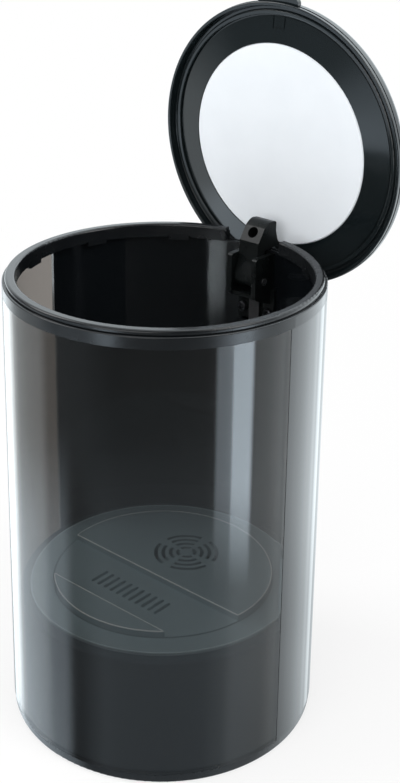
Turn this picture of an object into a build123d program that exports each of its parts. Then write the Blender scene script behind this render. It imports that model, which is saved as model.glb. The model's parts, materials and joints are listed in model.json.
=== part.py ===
from build123d import *
import os
from math import copysign, cos, pi, radians, sin, sqrt

# Table-top ozone sterilizer, in millimetres. Origin at the centre of the face it stands on, +Z up,
# the lid's hinge towards +Y and the front towards -Y. At rest the lid stands open.

os.makedirs("parts", exist_ok=True)

# Case
case_r = 60.0
case_wall = 2.4
case_bottom = 3.95
case_top = 173.05
shell_half_angle = 91.8
seam_gap = 0.3
tongue_in = 58.2
tongue_out = 59.2
tongue_low = 1.9
tongue_high = 2.9
groove_play = 0.1

# Rim ring at the mouth
ring_top = 179.45
ring_inner_r = 54.8
notch_floor = 174.0
notch_left = 15.7
notch_right = 12.2
clip_pitch = 36.0
bracket_top = 172.9

# Base
rim_low = 0.3
floor_low = 1.5
floor_top = 3.5
pad_r = 41.0
drum_r = 56.8
drum_wall = 2.0
drum_top = 50.75
boss_place_r = 50.0
deck_r = 52.5
deck_top = 52.0
deck_seat = 49.95
deck_plate = 2.0
tray_r = 43.2
tray_top = 54.6
channel_front = -31.8
channel_back = -6.2
channel_floor = 52.2

# Electronics in the base
board_low = 10.0
board_thick = 1.6
board_r = 49.5
post_x = 38.0
post_y = 9.0
fan_y = 14.0
fan_side = 30.0
fan_depth = 8.0
outlet_y = -19.0
socket_z = 13.2
stop_back = 48.0
button_z = 30.0
button_r = 5.0
button_travel = 0.7
button_face = 60.5
flange_back = 52.4
light_z = 38.5

# Lid and hinge
hinge_y = 50.86
hinge_z = 162.47
open_angle = 86.8
pin_r = 1.5
pin_play = 0.05
arm_half = 4.7
swing_r = 15.1
cheek_in = 5.0
cheek_out = 7.2
cheek_front = 45.3
lid_seat = 179.55
lid_r = 57.6
lid_rim_r = 57.4
panel_r = 41.1
dome_flat = 1.5
tab_half = 9.6
tab_reach = 59.6

board_top = board_low + board_thick
hinge_axis = Axis((0, hinge_y, hinge_z), (1, 0, 0))


def save(name, *solids):
    """Write one named piece, or a group of like pieces, to its own file."""
    shape = solids[0] if len(solids) == 1 else Compound(children=list(solids))
    shape.label = name
    export_step(shape, "parts/" + name + ".step")


def outline(points):
    """A face from (across, up) points; a third value rounds that corner."""
    face = make_face(Polyline(*[p[:2] for p in points], close=True))
    for p in points:
        if len(p) == 3:
            corner = face.vertices().sort_by_distance((p[0], p[1], 0))[0]
            face = fillet(corner, p[2])
    return face


def turned(points):
    """A solid of revolution about Z from (radius, height) points."""
    return revolve(Plane.XZ * outline(points), Axis.Z)


def spot(radius, bearing):
    """The x and y at a bearing in degrees from the hinge, growing towards +X."""
    return radius * sin(radians(bearing)), radius * cos(radians(bearing))


def wedge(first, last, low, high, reach=90.0):
    """A pie slice about Z between two bearings, for cutting or keeping a sector."""
    steps = max(2, round((last - first) / 20))
    rim = [spot(reach, first + (last - first) * k / steps) for k in range(steps + 1)]
    return Pos(0, 0, low) * extrude(make_face(Polyline((0, 0), *rim, close=True)), high - low)


def block(x0, x1, y0, y1, z0, z1):
    return Pos((x0 + x1) / 2, (y0 + y1) / 2, (z0 + z1) / 2) * Box(x1 - x0, y1 - y0, z1 - z0)


def post(x, y, z0, z1, radius):
    return Pos(x, y, (z0 + z1) / 2) * Cylinder(radius, z1 - z0)


def rod_y(x, z, y0, y1, radius):
    return Pos(x, (y0 + y1) / 2, z) * Rot(90, 0, 0) * Cylinder(radius, y1 - y0)


def rod_x(y, z, x0, x1, radius):
    return Pos((x0 + x1) / 2, y, z) * Rot(0, 90, 0) * Cylinder(radius, x1 - x0)


def slot_y(width, height, z, y0, y1):
    """A stadium-shaped bar along Y, wider than it is high, for a socket opening."""
    face = Plane.XZ * Pos(0, z) * SlotOverall(width, height)
    return Pos(0, y1, 0) * extrude(face, y1 - y0)


def screw(x, y, seat, shank, head_r, head_h, shank_r, up=1):
    """A pan-head screw standing along Z; its head is below the seat when up is 1."""
    face = seat - up * head_h
    end = seat + up * shank
    head = post(x, y, min(seat, face), max(seat, face), head_r)
    rims = head.edges().filter_by(GeomType.CIRCLE).sort_by(Axis.Z)
    head = fillet(rims[0 if up == 1 else -1], head_h * 0.45)
    body = head + post(x, y, min(seat, end), max(seat, end), shank_r)
    reach = head_r * 0.6
    body -= block(x - 0.35, x + 0.35, y - reach, y + reach, face - 0.6, face + 0.6)
    return body - block(x - reach, x + reach, y - 0.35, y + 0.35, face - 0.6, face + 0.6)


def opened(shape):
    """Carry a lid piece from its closed place to the open one it rests in."""
    return shape.rotate(hinge_axis, -open_angle)


def base_cover():
    inner = tongue_in - groove_play
    outer = tongue_out + groove_play
    cover = turned(
        [
            (0, floor_low),
            (56.0, floor_low),
            (56.6, rim_low),
            (59.6, rim_low, 0.9),
            (case_r, case_bottom),
            (outer, case_bottom),
            (outer, case_bottom - tongue_low - groove_play),
            (inner, case_bottom - tongue_low - groove_play),
            (inner, case_bottom),
            (drum_r + 0.15, case_bottom),
            (drum_r + 0.15, floor_top),
            (0, floor_top),
        ]
    )
    for k in range(4):
        x, y = spot(boss_place_r, 45 + 90 * k)
        cover -= post(x, y, 0, floor_top, 1.7)
        cover -= post(x, y, 0, floor_low + 0.4, 3.2)
        px = post_x * (1 if k % 2 else -1)
        py = post_y * (1 if k < 2 else -1)
        cover += post(px, py, floor_top, board_low, 3.0)
        cover -= post(px, py, floor_top, board_low, 1.05)
    return cover - post(0, 0, 0, floor_low + 0.5, pad_r + 0.15)


def base_pad():
    """A round rubber pad, let into the cover, that the case stands on."""
    pad = turned([(0, 0), (pad_r, 0, 0.5), (pad_r, floor_low + 0.5), (0, floor_low + 0.5)])
    for radius in (34.0, 36.5):
        pad -= turned([(radius, -1), (radius + 1.0, -1), (radius + 1.0, 0.5), (radius, 0.5)])
    return pad


def drum():
    wall_in = drum_r - drum_wall
    body = turned(
        [
            (wall_in, floor_top),
            (drum_r, floor_top),
            (drum_r, drum_top, 0.7),
            (deck_r + 0.1, drum_top),
            (deck_r + 0.1, deck_seat),
            (50.5, deck_seat),
            (50.5, deck_seat - 1.2),
            (wall_in, deck_seat - 1.2 - (wall_in - 50.5) * 0.6),
        ]
    )
    for k in range(4):
        bearing = 45 + 90 * k
        x, y = spot(boss_place_r, bearing)
        rib = Rot(0, 0, -bearing) * block(-1.2, 1.2, boss_place_r, wall_in + 0.6, floor_top, 16.0)
        body += post(x, y, floor_top, 16.0, 3.4) + rib
        body -= post(x, y, floor_top, 14.0, 1.3)
    # a fork behind the socket takes the push of the plug
    stop = block(-6.1, 6.1, stop_back, wall_in + 0.6, board_top + 0.9, 16.0)
    body += stop - block(-4.9, 4.9, stop_back + 1.3, 60.0, board_top, 17.0)
    body -= slot_y(9.5, 3.8, socket_z, 50.0, 60.0)
    body -= rod_y(0, button_z, 50.0, 60.0, button_r + 0.15)
    body -= rod_y(0, light_z, 50.0, 60.0, 1.3)
    return body - block(-4.0, 4.0, 53.2, 54.7, 40.0, 52.0)


def deck():
    """The floor of the chamber: a dished plate that snaps into the drum."""
    dish = tray_r + 0.4
    plate = turned(
        [
            (0, deck_seat),
            (dish, deck_seat),
            (dish, deck_top, 0.3),
            (deck_r, deck_top, 0.5),
            (deck_r, deck_seat),
            (dish + 2.0, deck_seat),
            (dish + 2.0, deck_seat - deck_plate),
            (0, deck_seat - deck_plate),
        ]
    )
    snap = turned(
        [
            (48.4, 45.4),
            (49.6, 45.4),
            (50.9, 47.4),
            (50.9, 48.4),
            (50.3, 48.4),
            (50.3, 50.2),
            (48.4, 50.2),
        ]
    )
    for k in range(4):
        plate += snap & wedge(20 + 90 * k, 28 + 90 * k, 45, 51)
    plate -= post(0, fan_y, 40, 60, 13.2)
    plate -= block(-19, 19, outlet_y - 5.0, outlet_y + 5.0, 40, 60)
    for sx in (-1, 1):
        for sy in (-1, 1):
            plate -= post(12.0 * sx, fan_y + 12.0 * sy, 40, 60, 0.85)
    return plate


def tray():
    """The raised plate that carries the things to be cleaned, with a channel that a flat one stands in."""
    plate = turned([(0, deck_seat), (tray_r, deck_seat), (tray_r, tray_top), (0, tray_top)])
    plate -= block(-60, 60, channel_front, channel_back, channel_floor, 60)
    plate = fillet(plate.edges().group_by(Axis.Z)[-1], 0.6)
    for ring in range(4):
        radius = 3.4 + 3.0 * ring
        arc = turned([(radius - 0.75, 40), (radius + 0.75, 40), (radius + 0.75, 60), (radius - 0.75, 60)])
        for quarter in range(4):
            plate -= Pos(0, fan_y, 0) * (arc & wedge(90 * quarter + 10, 90 * quarter + 80, 40, 60))
    for k in range(-5, 6):
        slot = Pos(3.3 * k, outlet_y, 50) * extrude(SlotOverall(9.0, 1.5, 90), 10)
        plate -= slot
    return plate


def case_half(first, last):
    """A half tube with a tongue at each end, between two bearings."""
    inner = case_r - case_wall
    tube = turned(
        [
            (inner, case_bottom),
            (tongue_in, case_bottom),
            (tongue_in, case_bottom - tongue_low),
            (tongue_out, case_bottom - tongue_low),
            (tongue_out, case_bottom),
            (case_r, case_bottom),
            (case_r, case_top),
            (tongue_out, case_top),
            (tongue_out, case_top + tongue_high),
            (tongue_in, case_top + tongue_high),
            (tongue_in, case_top),
            (inner, case_top),
        ]
    )
    return tube & wedge(first, last, 0, 200)


def window():
    gap = seam_gap / case_r * 180 / pi
    return case_half(shell_half_angle + gap, 360 - shell_half_angle - gap)


def shell():
    body = case_half(-shell_half_angle, shell_half_angle)
    body -= wedge(-notch_left - 1, notch_right + 1, case_top, 190)
    body -= slot_y(12.8, 7.4, socket_z, 50.0, 70.0)
    body -= rod_y(0, button_z, 50.0, 70.0, button_r + 0.15)
    body -= rod_y(0, light_z, 50.0, 70.0, 1.3)
    for sx in (-1, 1):
        body -= rod_y(6.5 * sx, 147.5, 50.0, 59.2, 1.15)
    return body


def ring():
    inner = tongue_in - groove_play
    outer = tongue_out + groove_play
    body = turned(
        [
            (ring_inner_r, notch_floor, 0.3),
            (55.2, ring_top, 0.9),
            (58.9, ring_top, 1.0),
            (58.9, 177.9),
            (58.6, 177.7),
            (58.6, 177.3),
            (59.1, 177.2),
            (59.2, 177.55, 0.1),
            (case_r, 177.4, 0.45),
            (case_r, case_top),
            (outer, case_top),
            (outer, case_top + tongue_high + groove_play),
            (inner, case_top + tongue_high + groove_play),
            (inner, case_top),
            (57.0, case_top),
            (57.0, notch_floor),
        ]
    )
    for k in range(1, 10):
        tab = turned([(54.5, 172.9), (55.9, 172.9), (56.6, 174.1), (55.0, 174.1), (54.5, 175.0)])
        bearing = clip_pitch * k
        body += tab & wedge(bearing - 4.3, bearing + 4.3, 170, 176)
        body -= wedge(bearing - 4.9, bearing - 4.3, 170, 174.9, 56.9)
        body -= wedge(bearing + 4.3, bearing + 4.9, 170, 174.9, 56.9)
    body -= wedge(-notch_left, notch_right, notch_floor, 190)
    keeper_room = turned([(55.6, 172), (56.9, 172), (56.9, 178.3), (55.6, 178.3)])
    return body - (keeper_room & wedge(172.8, 187.2, 170, 190))


def keeper():
    strip = turned([(55.7, 174.4), (56.8, 174.4), (56.8, 178.2), (55.7, 178.2)])
    return strip & wedge(173.2, 186.8, 170, 190)


def bracket():
    """Two cheeks on a back plate, open towards the chamber, that hold the hinge pin."""
    back = 57.0
    shelf = 156.0
    body = block(-9.0, 9.0, 55.3, back, 143.0, 158.0)
    body += block(-cheek_out, cheek_out, 55.3, back, 143.0, bracket_top)
    for side in (-1, 1):
        near = side * cheek_in
        far = side * cheek_out
        face = outline(
            [
                (cheek_front, shelf, 1.5),
                (back, shelf - 5.0),
                (back, bracket_top),
                (cheek_front, bracket_top, 1.2),
            ]
        )
        cheek = extrude(Plane.YZ * face, cheek_out - cheek_in)
        body += Pos(min(near, far), 0, 0) * cheek
    body += block(-cheek_in, cheek_in, cheek_front + 0.8, 55.4, shelf, shelf + 1.4)
    body -= block(-3.2, 3.2, 53.6, 55.0, 150, 160)
    body -= rod_x(hinge_y, hinge_z, -20, 20, pin_r)
    for sx in (-1, 1):
        body -= rod_y(6.5 * sx, 147.5, 50.0, 60.0, 1.35)
    return body & (post(0, 0, 100, 200, case_r - case_wall - 0.1))


def side_screws(places, seat, length, head_r, head_h, shank_r):
    """Screws driven outwards along +Y at (x, z) places."""
    made = []
    for x, z in places:
        upright = screw(0, 0, 0, length, head_r, head_h, shank_r)
        made.append(Pos(x, seat, z) * Rot(-90, 0, 0) * upright)
    return made


def cable_duct():
    """The narrow cover on the chamber's back wall that hides the flat cable."""
    face = outline(
        [
            (-7.5, 57.0),
            (-7.5, 52.6, 1.0),
            (7.5, 52.6, 1.0),
            (7.5, 57.0),
            (6.3, 57.0),
            (6.3, 53.8, 0.4),
            (-6.3, 53.8, 0.4),
            (-6.3, 57.0),
        ]
    )
    return Pos(0, 0, drum_top) * extrude(face, 142.9 - drum_top)


def flat_cable():
    low = 43.0
    high = 154.0
    points = [(54.0, high), (54.0, low + 0.6, 0.8), (47.9, low + 0.6), (47.9, low), (54.6, low, 1.4), (54.6, high)]
    face = outline(points)
    return extrude(Plane.YZ * face, 2.5, both=True)


def lid_under():
    """The lid's underside: a rim, a dished black band and the seat of the white panel."""
    z = lid_seat
    frame = turned(
        [
            (panel_r + 0.12, z + 1.15),
            (51.6, z + 3.0),
            (51.6, z + 3.5),
            (52.1, z + 3.5),
            (52.1, z + 3.0),
            (52.4, z + 2.3, 0.4),
            (53.9, z + 2.3, 0.6),
            (54.3, z + 3.1),
            (55.3, z + 3.1, 0.3),
            (56.1, z, 0.3),
            (lid_rim_r, z, 0.45),
            (lid_rim_r, z + 1.7),
            (56.0, z + 1.7),
            (56.0, z + 4.4),
            (49.5, z + 4.6),
            (panel_r + 2.2, z + 3.1),
            (panel_r + 0.12, z + 3.1),
        ]
    )
    for k in range(3):
        x, y = spot(45.0, 30 + 120 * k)
        frame += post(x, y, z + 2.6, z + 4.5, 2.1)
        frame -= post(x, y, z + 3.0, z + 4.5, 0.8)
    groove = block(-2.9, 2.9, -52.0, -46.8, z + 1.0, z + 5.0) - block(-2.5, 2.5, -53.0, -47.2, z, z + 5.0)
    depth = turned([(46.0, z + 1.6), (53.0, z + 2.9), (53.0, z + 3.7), (46.0, z + 2.5)])
    frame -= groove & depth
    frame += block(-11.6, 11.6, 43.4, 51.0, z + 1.9, z + 4.2)
    frame -= block(-11.7, 11.7, 41.0, 51.1, z - 1, z + 1.95)
    for sx in (-1, 1):
        frame -= post(8.6 * sx, 46.4, z - 1, z + 3.9, 1.0)
    frame -= block(-2.5, 2.5, -51.0, -46.8, z + 4.1, z + 6)
    return frame - block(-1.5, 1.5, 43.6, 47.0, z - 1, z + 8)


def dome(radius, edge, crown):
    """The side view of a shallow dome, from its edge to a small flat on the lid's own centre line."""
    rise = crown - edge
    middle = (crown + edge) / 2 - (radius**2 - dome_flat**2) / (2 * rise)
    ball = copysign(sqrt(dome_flat**2 + (crown - middle) ** 2), rise)
    half = radius / 2
    height = middle + copysign(sqrt(ball**2 - half**2), ball)
    arc = ThreePointArc((radius, edge), (half, height), (dome_flat, crown))
    return [arc, Line((dome_flat, crown), (0, crown))]


def lid_top():
    """The lid's outer cover, slightly domed, with a thumb tab at its front."""
    z = lid_seat
    corner = (lid_r, z + 5.4)
    face = make_face(
        [
            Line((lid_r, z + 1.8), corner),
            *dome(lid_r, z + 5.4, z + 13.0),
            Line((0, z + 13.0), (0, z + 11.2)),
            *dome(56.1, z + 4.4, z + 11.2),
            Line((56.1, z + 4.4), (56.1, z + 1.8)),
            Line((56.1, z + 1.8), (lid_r, z + 1.8)),
        ]
    )
    face = fillet(face.vertices().sort_by_distance((corner[0], corner[1], 0))[0], 2.6)
    cover = revolve(Plane.XZ * face, Axis.Z)
    root = -56.0
    tab = outline([(-tab_half, root), (-tab_half, -tab_reach, 2.2), (tab_half, -tab_reach, 2.2), (tab_half, root)])
    grip = Pos(0, 0, z + 1.8) * extrude(tab, 2.6)
    rim = grip.edges().filter_by_position(Axis.Y, -tab_reach - 0.1, -57.0)
    grip = fillet(rim.group_by(Axis.Z)[-1], 0.9)
    return cover + (grip - post(0, 0, 0, 300, 57.0))


def light_panel():
    z = lid_seat
    lens = make_face(
        [
            *dome(panel_r - 0.5, z + 1.1, z + 0.25),
            Line((panel_r - 0.5, z + 1.1), (panel_r, z + 1.5)),
            Line((panel_r, z + 1.5), (panel_r, z + 3.15)),
            Line((panel_r, z + 3.15), (panel_r + 1.5, z + 3.15)),
            Line((panel_r + 1.5, z + 3.15), (panel_r + 1.5, z + 4.2)),
            Line((panel_r + 1.5, z + 4.2), (panel_r - 1.6, z + 4.2)),
            Line((panel_r - 1.6, z + 4.2), (panel_r - 1.6, z + 2.4)),
            *dome(panel_r - 1.6, z + 2.4, z + 1.75),
            Line((0, z + 1.75), (0, z + 0.25)),
        ]
    )
    return revolve(Plane.XZ * lens, Axis.Z)


def light_board():
    z = lid_seat
    plate = post(0, 0, z + 4.5, z + 5.5, 38.5)
    for k in range(3):
        bearing = 30 + 120 * k
        x, y = spot(45.0, bearing)
        plate += post(x, y, z + 4.5, z + 5.5, 2.4)
        plate += Rot(0, 0, -bearing) * block(-2.4, 2.4, 37.0, 45.0, z + 4.5, z + 5.5)
        plate -= post(x, y, z + 4.0, z + 7.0, 0.95)
    return plate


def light_chips():
    made = []
    for count, radius in ((6, 14.0), (12, 29.0)):
        for k in range(count):
            bearing = 360 / count * k
            chip = block(-1.4, 1.4, radius - 1.75, radius + 1.75, lid_seat + 3.8, lid_seat + 4.5)
            made.append(Rot(0, 0, -bearing) * chip)
    return made


def hook(points, half):
    """A piece cut from the open lid's side view, given as (y, z) points."""
    return extrude(Plane.YZ * outline(points), half, both=True)


def about_hinge(radius, direction):
    """A (y, z) point around the hinge axis, with the direction in degrees up from +Y."""
    return hinge_y + radius * cos(radians(direction)), hinge_z + radius * sin(radians(direction))


def lid_arm():
    """The gooseneck: from the pin up, over the notch in the rim ring and down to the lid."""
    plate_low = lid_seat + 0.3
    arm = hook(
        [
            (46.7, 164.0, 2.5),
            (46.7, 160.9, 3.9),
            (hinge_y, 158.3, 3.0),
            (55.0, 160.9, 3.0),
            (55.0, 164.4, 3.0),
            (54.0, 170.0, 4.0),
            (54.0, notch_floor + 0.2, 1.0),
            *[about_hinge(swing_r, direction) for direction in (52, 46, 40, 34, 28, 22, 16)],
            (68.6, 166.5),
            (68.0, 172.6, 1.0),
            (62.4, 176.4, 3.0),
            (61.0, 181.2, 3.0),
            (61.2, 185.0, 1.1),
            (56.6, 185.7, 5.0),
            (53.4, 183.3, 2.6),
            (49.8, 178.0, 0.3),
            (49.0, 170.0, 6.0),
        ],
        arm_half,
    )
    arm += opened(block(-11.5, 11.5, 41.9, 50.9, plate_low, lid_seat + 1.9))
    across = Vector(0, -sqrt(1 - 0.563**2), 0.563)
    bore_plane = Plane(origin=(0, 52.1, 181.4), x_dir=(1, 0, 0), z_dir=across)
    bore = bore_plane * Pos(0, 0, -4.0) * Cylinder(2.3, 12.0)
    arm -= bore
    arm -= rod_x(hinge_y, hinge_z, -20, 20, pin_r + pin_play)
    for sx in (-1, 1):
        arm -= opened(post(8.6 * sx, 46.4, plate_low - 2, lid_seat + 3, 1.2))
    return arm - lead_path(1.1, 2.1)


def lead_path(half, depth):
    """The lead's route along the inside of the gooseneck, as a band of the given depth."""
    under = notch_floor + 0.2
    bends = (52, 46, 40, 34, 28)
    return hook(
        [
            (55.3, 165.2),
            (54.0, 170.2),
            (54.0, under),
            *[about_hinge(swing_r, direction) for direction in (*bends, 22)],
            (72.6, 168.2),
            (72.6, 170.2),
            *[about_hinge(swing_r + depth, direction) for direction in reversed(bends)],
            (54.0 - depth, under + depth),
            (54.0 - depth, 170.0),
            (55.3 - depth, 165.2),
        ],
        half,
    )


def arm_lead():
    return lead_path(0.8, 1.2) & block(-5, 5, 50, 72.2, 167.5, 180)


def magnet():
    return opened(block(-2.4, 2.4, -50.9, -46.9, lid_seat + 4.15, lid_seat + 5.35))


def main_board():
    plate = post(0, 0, board_low, board_top, board_r)
    for k in range(4):
        x, y = spot(boss_place_r, 45 + 90 * k)
        plate -= post(x, y, 0, 20, 5.2)
        px = post_x * (1 if k % 2 else -1)
        py = post_y * (1 if k < 2 else -1)
        plate -= post(px, py, 0, 20, 1.35)
    return plate


def board_parts():
    """Coil, capacitors and chips on the main board."""
    coil = post(24, 20, board_top, board_top + 7.0, 6.5) - post(24, 20, board_top, board_top + 9.0, 2.6)
    cans = [post(12, 28, board_top, board_top + 9.0, 3.1), post(12, 20, board_top, board_top + 9.0, 3.1)]
    chips = [
        block(14, 24, 2, 9, board_top, board_top + 1.6),
        block(-4, 3, 4, 11, board_top, board_top + 1.1),
        block(28, 33, -4, 1, board_top, board_top + 1.3),
        block(-8, -3, 30, 35, board_top, board_top + 1.3),
    ]
    return [coil, *cans, *chips]


def transformer():
    body = block(-30, -8, 14, 31, board_top, board_top + 15.0)
    body = fillet(body.edges().filter_by(Axis.Z), 1.5)
    return body - post(-13, 19, board_top + 14.4, board_top + 16, 2.0)


def high_voltage_leads():
    """Two insulated leads from the transformer to the ozone plate's ends."""
    low = board_top + 15.0
    level = 43.4
    made = []
    for x, y, end, rise in ((-28.5, 18.0, -22.0, 8.0), (-26.0, 24.0, -16.0, 5.0)):
        run = low + rise
        bends = [(x, y, low), (x, y, run), (x, end, run), (x, end, level), (-23.05, end, level)]
        path = FilletPolyline(*bends, radius=2.6)
        section = Plane(origin=(x, y, low), z_dir=(0, 0, 1)) * Circle(0.8)
        made.append(sweep(section, path=path))
    return made


def ozone_holder():
    """An open-ended frame under the outlet slots that holds the ozone plate in the air stream."""
    low = deck_seat - deck_plate - 9.0
    body = block(-23, 23, outlet_y - 8, outlet_y + 8, low, deck_seat - deck_plate)
    body -= block(-20.5, 20.5, outlet_y - 6, outlet_y + 6, low + 1.5, 60)
    body -= block(-20.5, 20.5, outlet_y, outlet_y + 10, low + 2.5, low + 7.5)
    return body - block(-21.6, 21.6, outlet_y - 4.1, outlet_y + 4.1, 44.3, 45.3)


def ozone_plate():
    plate = block(-21.5, 21.5, outlet_y - 4.0, outlet_y + 4.0, 44.4, 45.2)
    return plate + block(-17.0, 17.0, outlet_y - 2.6, outlet_y + 2.6, 45.2, 45.35)


def fan_frame():
    top = deck_seat - deck_plate
    low = top - fan_depth
    half = fan_side / 2
    body = Pos(0, fan_y, 0) * block(-half, half, -half, half, low, top)
    body = fillet(body.edges().filter_by(Axis.Z), 2.0)
    body -= post(0, fan_y, low - 1, top + 1, 13.6)
    body += post(0, fan_y, low, low + 1.2, 6.6)
    for k in range(3):
        arm = Rot(0, 0, 40 + 120 * k) * block(-1.1, 1.1, 6.0, 14.0, low, low + 1.2)
        body += Pos(0, fan_y, 0) * arm
    body += post(0, fan_y, low + 1.2, low + 3.0, 3.0)
    for sx in (-1, 1):
        for sy in (-1, 1):
            body -= post(12.0 * sx, fan_y + 12.0 * sy, low - 1, top + 1, 1.3)
    return body - post(0, fan_y, low + 0.4, low + 4.0, 1.05)


def fan_impeller():
    top = deck_seat - deck_plate
    low = top - fan_depth
    hub = fillet(post(0, 0, low + 1.6, top - 0.8, 6.4).edges().group_by(Axis.Z)[-1], 0.8)
    hub -= post(0, 0, low + 1.0, low + 3.4, 5.4)
    hub += post(0, 0, low + 0.6, low + 5.0, 1.0)
    for k in range(7):
        blade = Pos(9.4, 0, (low + top) / 2 + 0.5) * Rot(38, 0, 0) * Box(7.0, 0.7, 6.6)
        hub += Rot(0, 0, 360 / 7 * k) * blade
    hub &= post(0, 0, low + 0.6, top - 0.4, 13.0)
    return Pos(0, fan_y, 0) * hub


def battery():
    body = rod_x(-22.0, 22.2, -32.5, 32.5, 9.2)
    return body + rod_x(-22.0, 22.2, 32.5, 33.6, 3.0)


def battery_cradle():
    body = block(-36.5, 36.5, -31.0, -13.0, board_top, board_top + 7.0)
    body += block(-36.5, -34.3, -31.0, -13.0, board_top, board_top + 15.0)
    body += block(34.3, 36.5, -31.0, -13.0, board_top, board_top + 15.0)
    return body - rod_x(-22.0, 22.2, -34.3, 34.3, 9.35)


def usb_socket():
    shell_face = Plane.XZ * Pos(0, board_top + 1.65) * SlotOverall(9.0, 3.2)
    mouth_face = Plane.XZ * Pos(0, board_top + 1.65) * SlotOverall(8.4, 2.6)
    body = Pos(0, 57.0, 0) * extrude(shell_face, 7.6)
    body -= Pos(0, 57.1, 0) * extrude(mouth_face, 6.4)
    tongue = block(-3.2, 3.2, 50.2, 56.4, board_top + 1.3, board_top + 2.0)
    return body + tongue + block(-4.3, 4.3, 47.9, 49.6, board_top, board_top + 0.8)


def power_button():
    cap = rod_y(0, button_z, 53.0, button_face, button_r)
    cap = fillet(cap.edges().filter_by(GeomType.CIRCLE).sort_by(Axis.Y)[-1], 0.6)
    cap += rod_y(0, button_z, flange_back, flange_back + 0.8, 6.3)
    dish = Pos(0, button_face + 24.3, button_z) * Sphere(25.0)
    return cap - dish


def button_board():
    return block(-8.0, 8.0, 46.2, 47.8, board_top, 45.0)


def tact_switch():
    body = block(-3.0, 3.0, 47.8, 50.9, button_z - 3.0, button_z + 3.0)
    return body + rod_y(0, button_z, 50.9, flange_back - button_travel - 0.05, 1.7)


def status_light():
    return rod_y(0, light_z, 48.6, 59.95, 1.2) + block(-1.5, 1.5, 47.8, 48.6, light_z - 1.0, light_z + 1.0)


def deck_low_screws():
    low = deck_seat - deck_plate - fan_depth
    made = []
    for sx in (-1, 1):
        for sy in (-1, 1):
            made.append(screw(12.0 * sx, fan_y + 12.0 * sy, low, fan_depth + 1.6, 1.9, 1.3, 0.8))
    return made


save("bottom_cover", base_cover())
save("base_pad", base_pad())
save("base_drum", drum())
save("chamber_deck", deck())
save("item_tray", tray())
save("front_window", window())
save("rear_shell", shell())
save("top_ring", ring())
save("ring_keeper", keeper())
save("hinge_bracket", bracket())
save("hinge_pin", rod_x(hinge_y, hinge_z, -cheek_out - 0.3, cheek_out + 0.3, pin_r))
save("bracket_screws", *side_screws([(-6.5, 147.5), (6.5, 147.5)], 55.3, 3.8, 2.2, 1.4, 1.1))
save("cable_cover", cable_duct())
save("riser_cable", flat_cable())
save("lid_frame", opened(lid_under()))
save("lid_cover", opened(lid_top()))
save("light_panel", opened(light_panel()))
save("light_board", opened(light_board()))
save("light_chips", *[opened(chip) for chip in light_chips()])
save("lid_arm", lid_arm())
save("arm_lead", arm_lead())
save("lid_magnet", magnet())
save("main_board", main_board())
save("board_parts", *board_parts())
save("transformer", transformer())
save("high_voltage_leads", *high_voltage_leads())
save("ozone_holder", ozone_holder())
save("ozone_plate", ozone_plate())
save("fan_frame", fan_frame())
save("fan_impeller", fan_impeller())
save("fan_screws", *deck_low_screws())
save("battery_cell", battery())
save("battery_cradle", battery_cradle())
save("usb_socket", usb_socket())
save("power_button", power_button())
save("button_board", button_board())
save("button_switch", tact_switch())
save("status_light", status_light())

cover_screws = []
board_screws = []
for k in range(4):
    cover_screws.append(screw(*spot(boss_place_r, 45 + 90 * k), floor_low + 0.4, 9.5, 2.8, 1.6, 1.25))
    px = post_x * (1 if k % 2 else -1)
    py = post_y * (1 if k < 2 else -1)
    board_screws.append(screw(px, py, board_top, 5.0, 2.2, 1.4, 1.0, up=-1))
save("cover_screws", *cover_screws)
save("board_screws", *board_screws)

arm_screws = []
for sx in (-1, 1):
    arm_screws.append(opened(screw(8.6 * sx, 46.4, lid_seat + 0.3, 3.4, 2.1, 1.2, 0.95)))
save("arm_screws", *arm_screws)

panel_screws = []
for k in range(3):
    px, py = spot(45.0, 30 + 120 * k)
    panel_screws.append(opened(screw(px, py, lid_seat + 5.5, 2.3, 1.5, 0.8, 0.75, up=-1)))
save("light_screws", *panel_screws)
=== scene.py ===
import json
import math
import bmesh
import bpy
from mathutils import Matrix, Vector


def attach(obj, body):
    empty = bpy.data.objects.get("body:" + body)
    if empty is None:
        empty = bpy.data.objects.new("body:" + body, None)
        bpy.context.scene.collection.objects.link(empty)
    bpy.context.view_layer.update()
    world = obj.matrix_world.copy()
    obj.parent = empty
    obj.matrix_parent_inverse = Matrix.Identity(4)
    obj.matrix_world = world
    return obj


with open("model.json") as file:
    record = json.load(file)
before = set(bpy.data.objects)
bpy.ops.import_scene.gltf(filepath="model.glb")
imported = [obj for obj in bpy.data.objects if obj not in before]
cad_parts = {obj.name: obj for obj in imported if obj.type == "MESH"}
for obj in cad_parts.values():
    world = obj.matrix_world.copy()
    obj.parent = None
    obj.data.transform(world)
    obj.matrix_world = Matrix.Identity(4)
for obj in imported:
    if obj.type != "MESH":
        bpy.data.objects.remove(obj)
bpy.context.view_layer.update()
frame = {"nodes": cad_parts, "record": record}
nodes = frame["nodes"]
scene = bpy.context.scene
scene.view_settings.view_transform = "Standard"
print("frame loaded:", len(nodes), "pieces")


# camera
cameraFit = {
    "place": (0.31128, -0.34887, 0.34930),
    "heading": 40.204,  # degrees from +Y towards -X
    "pitch": 17.899,  # degrees below level
    "roll": 0.855,
    "lens": 61.87,
    "sensor": 36,
    "shiftY": -0.2169,
    "nearest": 0.01,
    "farthest": 50,
}


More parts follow.
